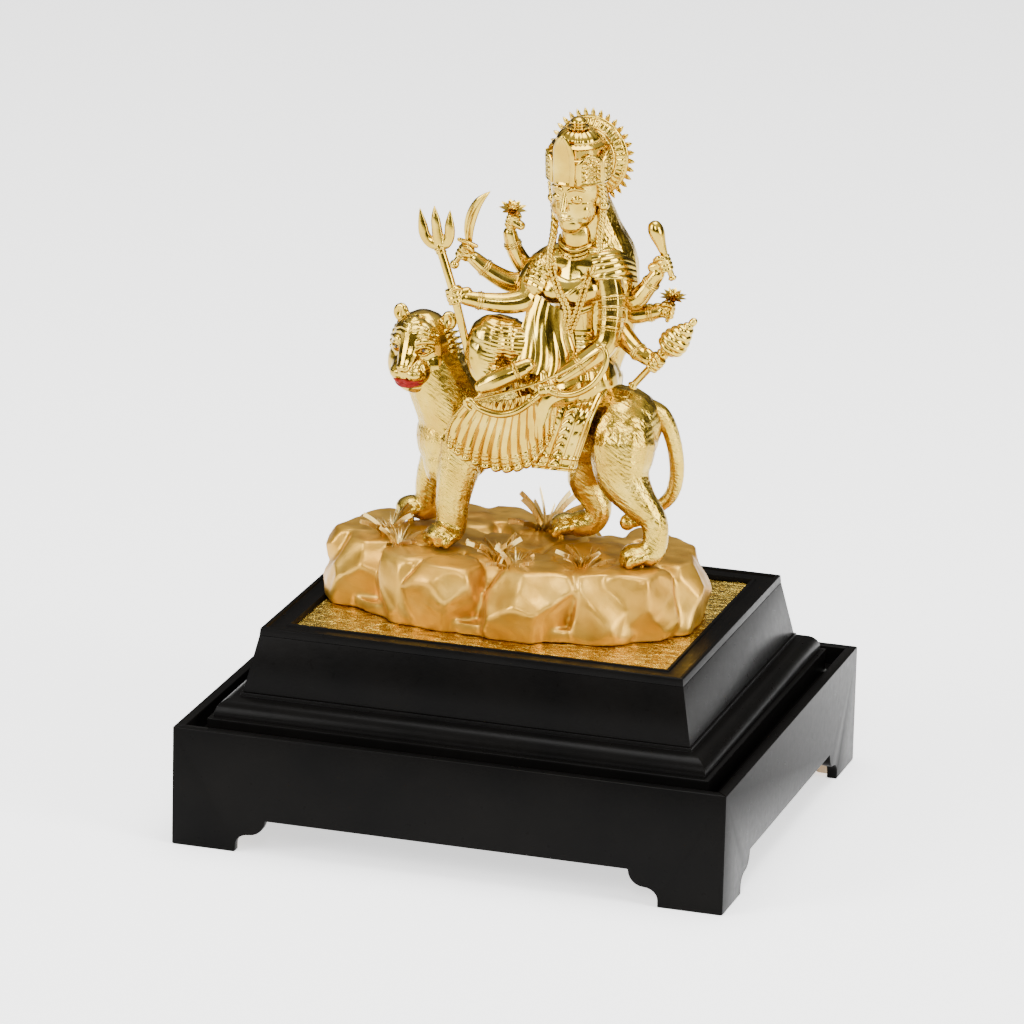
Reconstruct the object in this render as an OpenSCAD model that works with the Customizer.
// Gilded goddess riding a tiger, on a cast rock, a stepped plinth and a low tray stand.
// Millimetres, +Z up. The origin is the centre of the stand's underside, the long side is X,
// the front is -Y and the tiger's head is towards -X.

/* [Stand] */
// Length of the stand along its front
stand_l = 240; // [216:264]
// Depth of the stand from front to back
stand_d = 208; // [188:228]
// Height of the stand's side boards
stand_h = 52; // [44:60]
// Thickness of the side boards
board_t = 4.5; // [3.5:6]
// Length of each bracket foot on the floor
foot_l = 28; // [22:34]
// Height of the cut-out between two feet
foot_h = 15; // [10:20]
// Top of the tray floor that the plinth stands on
tray_z = 44; // [38:47]
// Thickness of the tray floor
tray_t = 4; // [3:6]

/* [Plinth] */
// Half length of the plinth at its top edge
top_x = 92; // [86:98]
// Half depth of the plinth at its top edge
top_y = 75; // [69:81]
// Height of the plinth's top edge
top_z = 90; // [84:96]
// How far the sloping side leans out from top to moulding
lean = 5.5; // [3:8]
// How far the lowest lip stands out from the top edge
lip = 17; // [14:19]
// Width of the frame round the foil
frame_w = 11; // [8:14]
// Thickness of the crinkled foil
foil_t = 0.6; // [0.4:1]

/* [Rock] */
// Half length of the rock
rock_a = 78; // [72:82]
// Half depth of the rock
rock_b = 49; // [44:53]
// Height of the flat seats under the paws
rock_top = 117; // [112:122]
// Wall thickness of the hollow rock
rock_wall = 5; // [3:8]

/* [Figure] */
// Radius of the halo without its points
halo_r = 17.2; // [15:19]
// Number of points round the halo
halo_n = 32; // [24:40]
// Radius of the shafts that the hands hold
shaft_r = 1.3; // [1:1.8]

/* [Output] */
// Which sub-part to draw

/* [Hidden] */
base_t = 4;
slope_z = 62.5;
foil_z = 88;
slope_t = 7;
gold = [0.86, 0.66, 0.26];
dark = [0.06, 0.055, 0.05];
stone = [0.80, 0.55, 0.22];
pin_xy = [[-30.5, -18], [-55, 11.5], [56, -17], [12, 12]];

// ---------- helpers ----------
function blend(a, b, c, d, t) = 0.5 * (2 * b + (c - a) * t + (2 * a - 5 * b + 4 * c - d) * t * t
    + (3 * b - a - 3 * c + d) * t * t * t);
function path(p, n) = [for (i = [0:len(p) - 2]) for (j = [0:n - 1])
    blend(p[max(i - 1, 0)], p[i], p[i + 1], p[min(i + 2, len(p) - 1)], j / n), p[len(p) - 1]];
module ball(q, f) { translate([q[0], q[1], q[2]]) sphere(r = q[3], $fn = f); }
// A tapering limb through points given as x, y, z and radius.
module limb(p, n = 3, f = 8) {
    q = path(p, n);
    for (i = [0:len(q) - 2]) hull() { ball(q[i], f); ball(q[i + 1], f); }
}
// An egg given by its middle and three half sizes, turned about Z.
module egg(c, s, a = 0, f = 14) { translate(c) rotate([0, 0, a]) scale(s) sphere(r = 1, $fn = f); }
module below(z) { translate([-150, -150, z - 60]) cube([300, 300, 60]); }

// ---------- stand ----------
module cut_out(l) {
    polygon(concat([[foot_l, -1]], [[foot_l, 3]],
        [for (a = [0:15:90]) [foot_l + 6 * (1 - cos(a)), 3 + 5 * sin(a)]],
        [for (a = [0:15:90]) [foot_l + 6 + 7 * sin(a), 8 + 7 * (1 - cos(a))]],
        [for (a = [0:15:90]) [l - foot_l - 6 - 7 * cos(a), 8 + 7 * (1 - sin(a))]],
        [for (a = [0:15:90]) [l - foot_l - 6 * (1 - sin(a)), 3 + 5 * cos(a)]],
        [[l - foot_l, -1]]));
}
module board_face(l) {
    difference() {
        square([l, stand_h]);
        cut_out(l);
    }
}
// One side board of length l standing on y = 0 with its outer face at y = 0 and mitred ends.
module side_board(l) {
    difference() {
        translate([-l / 2, board_t, 0]) rotate([90, 0, 0]) linear_extrude(height = board_t) board_face(l);
        for (s = [0, 1]) mirror([s, 0, 0]) translate([l / 2, 0, -1]) rotate([0, 0, 45])
            translate([0, -20, 0]) cube([40, 60, stand_h + 2]);
    }
}
module stand_front_board() { color(dark) translate([0, -stand_d / 2, 0]) side_board(stand_l); }
module stand_rear_board() { color(dark) rotate([0, 0, 180]) translate([0, -stand_d / 2, 0]) side_board(stand_l); }
module stand_left_board() { color(dark) rotate([0, 0, -90]) translate([0, -stand_l / 2, 0]) side_board(stand_d); }
module stand_right_board() { color(dark) rotate([0, 0, 90]) translate([0, -stand_l / 2, 0]) side_board(stand_d); }
module stand_floor() {
    color(dark) difference() {
        translate([board_t - stand_l / 2, board_t - stand_d / 2, tray_z - tray_t])
            cube([stand_l - 2 * board_t, stand_d - 2 * board_t, tray_t]);
        corners() translate([-9, -9, 0]) screw_hole();
    }
}
// Repeats a child, drawn inwards from the +X +Y inner corner, at all four corners.
module corners() {
    for (a = [0, 1], b = [0, 1]) mirror([a, 0, 0]) mirror([0, b, 0])
        translate([stand_l / 2 - board_t, stand_d / 2 - board_t, 0]) children();
}
module stand_corner_blocks() {
    color([0.6, 0.5, 0.36]) corners() difference() {
        translate([0, 0, 1.5]) linear_extrude(height = tray_z - tray_t - 1.5)
            polygon([[0, 0], [-22, 0], [-22, -4], [-4, -22], [0, -22]]);
        translate([-9, -9, 0]) screw_hole();
    }
}
module stand_foot_pads() {
    color([0.1, 0.1, 0.1]) corners() translate([-8, -8, 0]) cylinder(r = 6, h = 1.5, $fn = 32);
}
module screw_hole() {
    translate([0, 0, tray_z - 18]) cylinder(r = 1.5, h = 18, $fn = 20);
    translate([0, 0, tray_z - 2.1]) cylinder(r1 = 1.5, r2 = 3.6, h = 2.1, $fn = 24);
}
module stand_screws() {
    color([0.5, 0.5, 0.5]) corners() translate([-9, -9, 0]) {
        translate([0, 0, tray_z - 17]) cylinder(r = 1.45, h = 15.2, $fn = 20);
        translate([0, 0, tray_z - 2]) cylinder(r1 = 1.45, r2 = 3.3, h = 1.8, $fn = 24);
    }
}

// ---------- plinth ----------
// A profile given as [out from the top edge, height], run along a side of half length hx and mitred.
module mitred(hx, hy) {
    difference() {
        translate([-hx - 30, 0, 0]) rotate([90, 0, 90]) linear_extrude(height = 2 * hx + 60) children();
        for (s = [0, 1]) mirror([s, 0, 0]) translate([hx, -hy, 0]) rotate([0, 0, 45])
            translate([0, -60, 0]) cube([160, 160, 140]);
    }
}
// Draws a child profile (out, z) along the front, back, left and right sides of the top edge.
module run_front() { mitred(top_x, top_y) translate([-top_y, 0]) mirror([1, 0]) children(); }
module run_left() { rotate([0, 0, -90]) mitred(top_y, top_x) translate([-top_x, 0]) mirror([1, 0]) children(); }
module slope_profile() {
    polygon([[0, foil_z - 1.4], [0, top_z - 3], [0, foil_z - 1.4], [-slope_t, foil_z - 1.4],
        [-slope_t + lean, slope_z], [lean, slope_z], [0.3, foil_z - 1.4]]);
}
module moulding_profile() {
    polygon(concat([[-slope_t + lean, tray_z + base_t], [-slope_t + lean, slope_z], [lean + 0.8, slope_z],
        [lean + 0.8, slope_z - 1.6], [lean + 2, slope_z - 1.6]],
        [for (a = [0:12:96]) [8 + 7 * sin(a), slope_z - 8.6 + 7 * cos(a)]],
        [[lip - 2, 53.6], [lip, 53.2], [lip, tray_z], [-slope_t + lean + 8, tray_z],
        [-slope_t + lean + 8, tray_z + base_t]]));
}
module plinth_front_board() { color(dark) run_front() slope_profile(); }
module plinth_rear_board() { color(dark) rotate([0, 0, 180]) run_front() slope_profile(); }
module plinth_left_board() { color(dark) run_left() slope_profile(); }
module plinth_right_board() { color(dark) rotate([0, 0, 180]) run_left() slope_profile(); }
module plinth_moulding() {
    color(dark) {
        run_front() moulding_profile();
        rotate([0, 0, 180]) run_front() moulding_profile();
        run_left() moulding_profile();
        rotate([0, 0, 180]) run_left() moulding_profile();
    }
}
module plinth_base_board() {
    w = top_x + lean - slope_t + 8;
    d = top_y + lean - slope_t + 8;
    color(dark) translate([-w, -d, tray_z]) cube([2 * w, 2 * d, base_t]);
}
module rock_holes() {
    for (x = [-45, 40]) translate([x, 0, foil_z - 14]) cylinder(r = 1.5, h = 24, $fn = 20);
}
module plinth_top_board() {
    color(dark) difference() {
        translate([-top_x + slope_t, -top_y + slope_t, foil_z - foil_t - 6])
            cube([2 * (top_x - slope_t), 2 * (top_y - slope_t), 6]);
        rock_holes();
    }
}
module frame_profile() {
    polygon([[0.3, foil_z - 1.4], [0, top_z - 0.4], [-0.4, top_z], [-1.8, top_z], [-2.2, top_z - 0.9],
        [-8.4, top_z - 0.9], [-8.8, top_z - 0.2], [-10, top_z - 0.2], [-frame_w, foil_z + 0.1],
        [-frame_w, foil_z], [-slope_t, foil_z], [-slope_t, foil_z - 1.4]]);
}
module plinth_top_frame() {
    color(dark) {
        run_front() frame_profile();
        rotate([0, 0, 180]) run_front() frame_profile();
        run_left() frame_profile();
        rotate([0, 0, 180]) run_left() frame_profile();
    }
}
module gold_foil_panel() {
    w = top_x - slope_t - 0.2;
    d = top_y - slope_t - 0.2;
    color(gold) difference() {
        translate([-w, -d, foil_z - foil_t]) cube([2 * w, 2 * d, foil_t]);
        rock_holes();
    }
}

// ---------- rock ----------
module boulder(t, k) {
    x = -4 + (rock_a - 15) * cos(t);
    y = (rock_b - 14) * sin(t);
    w = 12 + 2 * sin(k * 97);
    h = rock_top - 13 + 2.5 * sin(k * 61);
    hull() {
        translate([x, y, foil_z + 4]) sphere(r = w + 1.5, $fn = 12);
        translate([x * 0.94, y * 0.92, h - 1]) sphere(r = w - 2, $fn = 12);
        translate([x * 0.6, y * 0.55, h - 4]) sphere(r = w, $fn = 12);
    }
}
module rock_base() {
    color(stone) difference() {
        union() {
            for (k = [0:17]) boulder(k * 20 + 6 * sin(k * 133), k);
            hull() for (p = [[-62, 0], [58, 0], [-44, -19], [-44, 19], [44, -19], [44, 19]])
                translate([p[0], p[1], foil_z]) cylinder(r1 = 17, r2 = 13, h = rock_top - foil_z, $fn = 20);
        }
        below(foil_z);
        hull() for (p = [[-54, 0], [46, 0], [-30, -16], [-30, 16], [28, -16], [28, 16]])
            translate([p[0], p[1], foil_z - 1])
                cylinder(r1 = 18, r2 = 11, h = rock_top - rock_wall - foil_z - 6, $fn = 20);
        translate([-200, -200, rock_top]) cube([400, 400, 50]);
        for (p = pin_xy) translate([p[0], p[1], rock_top - 7]) cylinder(r = 1.55, h = 10, $fn = 16);
    }
}
module rock_closure() {
    color([0.3, 0.28, 0.25]) difference() {
        hull() for (p = [[-54, 0], [46, 0], [-30, -16], [-30, 16], [28, -16], [28, 16]])
            translate([p[0], p[1], foil_z]) cylinder(r = 16.5, h = 2, $fn = 20);
        rock_holes();
    }
}
module rock_screws() {
    color([0.5, 0.5, 0.5]) for (x = [-45, 40]) {
        translate([x, 0, foil_z - foil_t - 6.2]) cylinder(r = 1.45, h = 12, $fn = 20);
        translate([x, 0, foil_z - foil_t - 8.2]) cylinder(r = 3.2, h = 2, $fn = 24);
    }
}
module tuft(x, y, n, h, a) {
    for (k = [0:n - 1]) translate([x, y, rock_top - 3]) rotate([0, 0, a + k * 360 / n])
        rotate([0, 18 + 22 * (k % 3), 0]) cylinder(r1 = 0.8, r2 = 0.25, h = h + 2 * (k % 2), $fn = 5);
    translate([x, y, rock_top - 4]) cylinder(r = 1.2, h = 4.5, $fn = 10);
}
module grass_tufts() {
    color(gold) {
        tuft(-57, -13, 9, 9, 10);
        tuft(-4, -26, 9, 10, 30);
        tuft(33, -24, 9, 9, 50);
        tuft(2, 20, 8, 15, 0);
    }
}

// ---------- tiger ----------
module tiger_body() {
    color(gold) union() {
        limb([[-27, 0, 164, 18], [-8, 0, 168, 17], [12, 0, 168, 16], [30, 0, 171, 17.5], [41, 0, 172.5, 17]], 2, 14);
        limb([[-29, 0, 166, 17], [-36, -2, 179, 15.5], [-41, -3, 190, 14.5]], 3, 14);
        egg([-30, 0, 162], [17, 18, 17]);
    }
}
module tiger_head() {
    color(gold) difference() {
        union() {
            egg([-46, -5, 199], [14.5, 13.5, 16.5], 18, 20);
            limb([[-48.5, -11, 193, 9], [-51, -17, 190.5, 7.4], [-52, -20.5, 189.5, 6]], 2, 10);
            limb([[-48, -14, 199, 4.6], [-50.5, -20, 197, 3.6], [-51.5, -23.6, 194.6, 2.8]], 2, 12);
            egg([-50.5, -15, 184], [7, 7, 4.8], 18, 14);
            for (s = [-1, 1]) {
                egg([-47.5 + 9 * s, -10 - 2.8 * s, 193], [6, 6, 7.5], 18, 14);
                limb([[-45 + 11 * s, -4 - 3.4 * s, 209, 4], [-45 + 12.5 * s, -4 - 3.9 * s, 213.5, 3.6]], 2, 12);
            }
        }
        for (s = [-1, 1]) {
            translate([-46.6 + 13.2 * s, -8 - 4 * s, 214]) sphere(r = 2.2, $fn = 12);
            translate([-49.5 + 6.4 * s, -17.2 - 2 * s, 202.3]) sphere(r = 2.1, $fn = 12);
        }
    }
}
module tiger_ruff() {
    color(gold) translate([-44.6, 0, 197]) rotate([0, 0, 18]) rotate([-90, 0, 0]) {
        rotate_extrude($fn = 60) translate([12, 0]) circle(r = 3.6, $fn = 40);
        for (k = [0:13]) rotate([0, 0, 4 + k * 360 / 14]) translate([13, 0, 0.7]) rotate([0, 84, 0])
            cylinder(r1 = 2.6, r2 = 0.5, h = 5.4, $fn = 24);
    }
}
module tiger_eyes() {
    color([0.1, 0.05, 0.02]) for (s = [-1, 1])
        translate([-49.5 + 6.4 * s, -17.2 - 2 * s, 202.3]) sphere(r = 1.9, $fn = 24);
}
module tiger_lips() {
    color([0.6, 0.12, 0.05]) union() {
        limb([[-57.5, -19.5, 186.5, 0.9], [-55, -24, 185.8, 1.2], [-52, -26.2, 185.4, 1.3], [-48.6, -25.4, 185.6, 1.2],
            [-45, -20.6, 186.6, 0.9]], 3, 10);
    }
}
module leg(p) {
    color(gold) difference() {
        limb(p, 2, 12);
        below(rock_top);
    }
}
module tiger_leg_front_near() {
    leg([[-26, -9, 160, 11], [-27, -13, 146, 8.4], [-28, -14.5, 134, 7], [-28.4, -15, 124, 6.6],
        [-30.5, -18.5, 121.5, 6.4], [-32, -23, 120.5, 5]]);
}
module tiger_leg_front_far() {
    leg([[-36, 9, 160, 11], [-42, 12, 146, 8.6], [-46, 12.5, 134, 7], [-46.5, 12.8, 124.5, 6.6],
        [-53, 11.8, 121.8, 6.4], [-59, 10.6, 120.8, 5.2]]);
}
module tiger_leg_hind_near() {
    leg([[42, -8, 168, 14], [44, -12, 154, 11.5], [51, -14, 145, 8.5], [60.5, -14, 135.5, 5.6],
        [61, -14.5, 125, 5.6], [56, -16.5, 121.6, 6], [49.5, -19, 120.6, 5]]);
}
module tiger_leg_hind_far() {
    leg([[36, 9, 164, 13], [26, 13, 152, 10], [21, 14, 142, 8], [27.5, 14, 131, 5.8],
        [25, 13.6, 123.8, 5.8], [16, 12.4, 121.8, 6], [8.5, 11, 120.8, 5]]);
}
module tiger_tail() {
    color(gold) union() {
        limb([[50, 3, 180, 4.4], [56.5, 6, 176.5, 3.8], [61, 8, 166, 3.4], [62.6, 10, 152, 3.2], [60, 12, 140.5, 3],
            [53, 13, 133, 2.8], [46, 13, 127.5, 2.8], [42, 12.5, 126, 3.4], [41, 12.2, 125.6, 3.4]], 3, 8);
    }
}
module paw_pins() {
    color(gold) for (p = pin_xy) translate([p[0], p[1], rock_top - 7]) cylinder(r = 1.5, h = 11, $fn = 16);
}
module saddle_cloth() {
    color(gold) translate([17.5, 0, 171]) rotate([0, 6, 0]) rotate([90, 0, 90]) linear_extrude(height = 20)
        difference() {
            circle(r = 21, $fn = 96);
            circle(r = 19.6, $fn = 96);
            translate([-30, -50]) square([60, 39]);
        }
}

// ---------- goddess ----------
module goddess_torso() {
    color(gold) union() {
        limb([[25, 1, 190, 15], [23, 1, 200, 12], [21, 1, 210, 9.2], [19.5, 0, 222, 9.8], [18, 0, 232, 10.5],
            [18, 0.5, 239, 8.5], [18.2, 0.5, 247, 5], [18, 0, 252, 4.6]], 2, 10);
        limb([[4, 1, 237.5, 6], [12, 1, 238.5, 7.5], [24, 1, 238.5, 7.5], [32, 1, 237.5, 6]], 2, 10);
        for (s = [-1, 1]) egg([17 + 6 * s, -7.5, 229], [5.6, 5.6, 5.8]);
    }
}
module goddess_head() {
    color(gold) union() {
        egg([16.6, -1.5, 266], [9.6, 10.8, 12.5], 10, 16);
        limb([[15.5, -5.5, 260, 5.6], [15.2, -6.8, 258.6, 4.2]], 2, 12);
        limb([[17.8, 0, 256, 5], [18.1, 0, 250, 4.8], [18.2, 0.5, 246, 4.9]], 3, 12);
        limb([[14.9, -11.8, 267.5, 1], [14.4, -13.6, 264.2, 1.5]], 3, 8);
    }
}
module hair() {
    color(gold) union() {
        limb([[18, 4, 272, 8], [20, 8.5, 262, 9], [21.5, 10.5, 250, 9], [22.5, 11, 238, 11], [24, 11, 222, 11.5],
            [26, 9, 206, 11], [27, 8, 195, 9]], 2, 10);
        for (s = [-1, 1])
            limb([[17.6 + 8.2 * s, 1, 270, 2.6], [17.8 + 10.4 * s, -2, 262, 2.6], [18 + 10 * s, -3, 252, 2.8],
                [18 + 11 * s, -5, 245, 2.4]], 2, 8);
    }
}
module crown() {
    color(gold) translate([16.6, -1.5, 0]) rotate([0, 0, -10]) union() {
        translate([0, 0, 272]) rotate_extrude($fn = 40)
            polygon([[0, 0], [10.6, 0], [11, 1.2], [10.2, 2], [10.4, 9], [10, 13], [9.6, 15], [8.6, 16.4], [8.4, 19.4],
                [6.6, 21], [6, 24], [3.6, 26.4], [2.4, 27.6], [3, 29.2], [2.2, 31], [0, 32]]);
        translate([0, -10.9, 274]) rotate([90, 0, 0]) linear_extrude(height = 2, center = true)
            polygon([[-4.6, 0], [4.6, 0], [5, 9], [3.6, 18], [0, 24.5], [-3.6, 18], [-5, 9]]);
        for (s = [-1, 1]) rotate([0, 0, 52 * s]) translate([0, -10.7, 274]) rotate([90, 0, 0])
            linear_extrude(height = 1.6, center = true)
                polygon([[-4.6, 0], [4.6, 0], [5, 10], [3, 14.5], [0, 16.5], [-3, 14.5], [-5, 10]]);
    }
}
module halo() {
    color(gold) translate([20.6, 14, 283.8]) rotate([0, 0, -10]) rotate([90, 0, 0]) union() {
        rotate_extrude($fn = 48) polygon([[0, 0], [halo_r, 0], [halo_r, 1.2], [14.6, 2.2], [14, 1.8], [10.6, 4],
            [10, 3.6], [6, 5], [0, 5.4]]);
        for (k = [0:halo_n - 1]) rotate([0, 0, k * 360 / halo_n]) translate([halo_r - 0.6, 0, 0])
            linear_extrude(height = 1) polygon([[0, -1.6], [3.2, 0], [0, 1.6]]);
    }
}
module garland() {
    color(gold) union() {
        limb([[27.5, -7, 241, 1.7], [27, -12.6, 231, 1.7], [24, -13.6, 220, 1.7], [18.5, -13.5, 208, 1.7],
            [13, -14.5, 200, 1.7]], 3, 6);
        limb([[8.5, -7, 241, 1.7], [7.6, -12.6, 231, 1.7], [8.4, -13.2, 220, 1.7], [10, -13.5, 208, 1.7],
            [12.4, -14.5, 200, 1.7]], 3, 6);
        limb([[11, -4, 244, 1], [14, -7, 242.4, 1], [18, -8.2, 241.6, 1], [22, -7, 242.4, 1], [25.4, -4, 244, 1]], 2, 8);
    }
}
module skirt() {
    color(gold) union() {
        for (k = [0:12]) {
            x = -33 + k * 4.4;
            z = 156 + 9 * pow(abs(k - 5.2) / 7, 2.2);
            hull() {
                translate([-2 + k * 1.1, -20, 189]) sphere(r = 1.6, $fn = 6);
                translate([x * 0.8 + 1, -19.6, 172]) sphere(r = 2, $fn = 6);
            }
            hull() {
                translate([x * 0.8 + 1, -19.6, 172]) sphere(r = 2, $fn = 6);
                translate([x, -20, z]) sphere(r = 2.4, $fn = 6);
            }
        }
        hull() {
            translate([8, -8, 190]) sphere(r = 12, $fn = 14);
            translate([24, -4, 190]) sphere(r = 15, $fn = 14);
        }
    }
}
module right_leg() {
    color(gold) union() {
        limb([[22, -5, 196, 10], [8, -9, 199, 9.6], [-6, -13, 206, 9.4], [-12.5, -15.5, 208.4, 8.6], [-14.5, -18, 202, 8.6],
            [-12, -21, 194, 6.6], [-6, -24, 191, 4.4]], 2, 10);
        limb([[4.5, -25.5, 199, 3], [-2, -27, 196.4, 3.8], [-8.5, -28.5, 192.8, 3.8], [-12.4, -29.5, 190.6, 3]], 3, 8);
    }
}
module left_leg() {
    color(gold) union() {
        limb([[26, -8, 192, 9], [20, -16, 190, 8], [14, -21, 186, 6.6], [12, -22, 178, 5], [9, -21.5, 170, 4],
            [5, -21.5, 163, 3.4]], 2, 12);
    }
}

// ---------- arms and what they hold ----------
module arm(p, hand) {
    color(gold) union() {
        limb(p, 3, 8);
        translate(hand) sphere(r = 3.6, $fn = 12);
    }
}
module arm_trident() {
    arm([[3, -1, 237.5, 5.4], [-0.5, -5, 231, 4.8], [0, -10, 225, 4.4], [-6, -13.5, 223.6, 3.8], [-15, -17, 224.2, 3.2],
        [-24.5, -20.8, 226, 2.7]], [-26.6, -22, 227]);
}
module arm_sword() {
    arm([[4, 4, 234, 4.4], [-3, 1, 229.5, 4], [-9, -2, 229.5, 3.8], [-17, -4.6, 233.8, 3.1], [-25, -7, 240, 2.6]],
        [-28, -8, 243]);
}
module arm_flower() {
    arm([[4, 7, 235, 4.2], [-1.5, 7, 231.5, 3.8], [-5.5, 5, 236, 3.4], [-9, 3, 243, 3], [-10.7, 2, 250, 2.6]],
        [-10.6, 2, 254.6]);
}
module arm_bow() {
    arm([[33.5, -1, 237.5, 5.4], [36, -3, 227, 5], [36.4, -6, 216, 4.6], [35, -8, 208.5, 4.4], [27, -14, 201.5, 3.8],
        [18.5, -20, 195, 2.9]], [14.2, -23.2, 191.8]);
}
module arm_club() {
    arm([[33, 5, 232, 4.4], [39, 5, 226.5, 4], [44, 4.6, 225.6, 3.8], [48.5, 4.4, 231, 3.2], [53.6, 4, 238.6, 2.7]],
        [56, 4, 242.6]);
}
module arm_lotus() {
    arm([[33, 8, 224, 4.2], [38, 8, 219.5, 3.8], [43, 7.6, 218.4, 3.4], [49, 7.8, 219.6, 3], [54, 8, 221, 2.7]],
        [57.2, 8, 222]);
}
module arm_mace() {
    arm([[33, 4, 219, 4.2], [37.5, 2, 213, 4], [42, 0, 209.4, 3.6], [47.5, -3, 206, 3], [53, -5, 203.6, 2.6]],
        [56.4, -6, 202.8]);
}
module shaft(a, b, r) { hull() { ball([a[0], a[1], a[2], r], 10); ball([b[0], b[1], b[2], r], 10); } }
module trident() {
    color(gold) union() {
        shaft([-34.6, -20, 249], [-26.6, -22, 227], shaft_r);
        shaft([-26.6, -22, 227], [-20.4, -19.6, 200], shaft_r);
        limb([[-42.9, -20, 261, 0.7], [-41.4, -20, 254.4, 1.5], [-38, -20, 249.4, 1.5], [-34.3, -20, 248.2, 1.6],
            [-31.4, -20, 251, 1.5], [-31, -20, 256, 1.4], [-30.2, -20, 262.2, 0.7]], 2, 8);
        limb([[-34.6, -20, 249, 1.6], [-35.6, -20, 256, 1.8], [-36.6, -20, 263.4, 0.6]], 3, 8);
    }
}
module sword() {
    color(gold) union() {
        limb([[-25.8, -8, 247, 1.6], [-23.6, -7.4, 253, 1.8], [-20.6, -6, 260, 1.6], [-18, -5, 266, 1.2],
            [-16.6, -4, 270, 0.5]], 2, 8);
        shaft([-25.8, -8, 247], [-31, -8.4, 237.4], 1.3);
        limb([[-28.4, -9.6, 247.4, 0.9], [-26, -8, 246.4, 1], [-23.6, -6.6, 245.4, 0.9]], 2, 8);
        translate([-31.4, -8.4, 236.8]) sphere(r = 2, $fn = 12);
    }
}
module blossom(c, r, h) {
    translate(c) {
        for (k = [0:7]) rotate([0, 0, 11 + k * 45]) hull() {
            sphere(r = 1, $fn = 8);
            translate([r * 0.7, 0, h * 0.45]) sphere(r = 1.2, $fn = 8);
            translate([r, 0, h]) sphere(r = 0.6, $fn = 8);
        }
        translate([0, 0, -0.4]) cylinder(r1 = 1.3, r2 = 2.3, h = h * 0.7, $fn = 14);
    }
}
module flower() {
    color(gold) union() {
        shaft([-10.8, 2, 250.6], [-10, 2, 260], 0.9);
        blossom([-10, 2, 259.4], 4.2, 5.3);
    }
}
module bow() {
    color(gold) union() {
        limb([[-16.2, -30, 182.6, 0.9], [-17.6, -30, 185, 1], [-15, -30, 186.2, 1.1], [-12, -30, 182.4, 1.4],
            [-3, -30, 180.8, 1.5], [6, -29.5, 182.6, 1.5], [11, -27.6, 187.6, 1.5], [14.4, -24.4, 191.6, 1.5],
            [20, -25, 192.2, 1.5], [28.4, -26, 192.4, 1.5], [35.6, -25, 196.6, 1.4], [39.6, -24, 203.4, 1.3],
            [39.6, -22.6, 208.6, 1.1], [37, -22, 210.6, 0.9]], 2, 6);
        shaft([-14.6, -30, 185.6], [37, -22, 210.4], 0.5);
    }
}
module club() {
    color(gold) union() {
        limb([[59.8, 4, 237.6, 1.6], [58, 4, 240.6, 1.2], [55.6, 4, 245.6, 1.3], [53.6, 4, 250.4, 1.8],
            [52, 4, 255.2, 2.8], [50.4, 4, 259.6, 2]], 3, 8);
    }
}
module lotus() {
    color(gold) union() {
        shaft([56.8, 8, 218.8], [59, 8, 227], 1);
        blossom([58.9, 8.1, 226.3], 5.2, 5.9);
    }
}
module mace() {
    color(gold) union() {
        limb([[47.6, -6, 192.6, 2], [50.4, -6, 196.4, 1.5], [56.4, -6, 202.8, 1.4], [61, -6, 209.4, 2],
            [64.4, -6, 213.2, 5.2], [68.4, -6, 217.2, 5.6], [71.4, -6, 221, 3.4], [73.6, -6, 223.8, 1.9]], 3, 8);
    }
}

// ---------- drawing ----------
stand_front_board();
stand_rear_board();
stand_left_board();
stand_right_board();
stand_floor();
stand_corner_blocks();
stand_foot_pads();
stand_screws();
plinth_front_board();
plinth_rear_board();
plinth_left_board();
plinth_right_board();
plinth_moulding();
plinth_base_board();
plinth_top_board();
plinth_top_frame();
gold_foil_panel();
rock_base();
rock_closure();
rock_screws();
grass_tufts();
tiger_body();
tiger_head();
tiger_ruff();
tiger_eyes();
tiger_lips();
tiger_leg_front_near();
tiger_leg_front_far();
tiger_leg_hind_near();
tiger_leg_hind_far();
tiger_tail();
paw_pins();
saddle_cloth();
goddess_torso();
goddess_head();
hair();
crown();
halo();
garland();
skirt();
right_leg();
left_leg();
arm_trident();
arm_sword();
arm_flower();
arm_bow();
arm_club();
arm_lotus();
arm_mace();
trident();
sword();
flower();
bow();
club();
lotus();
mace();
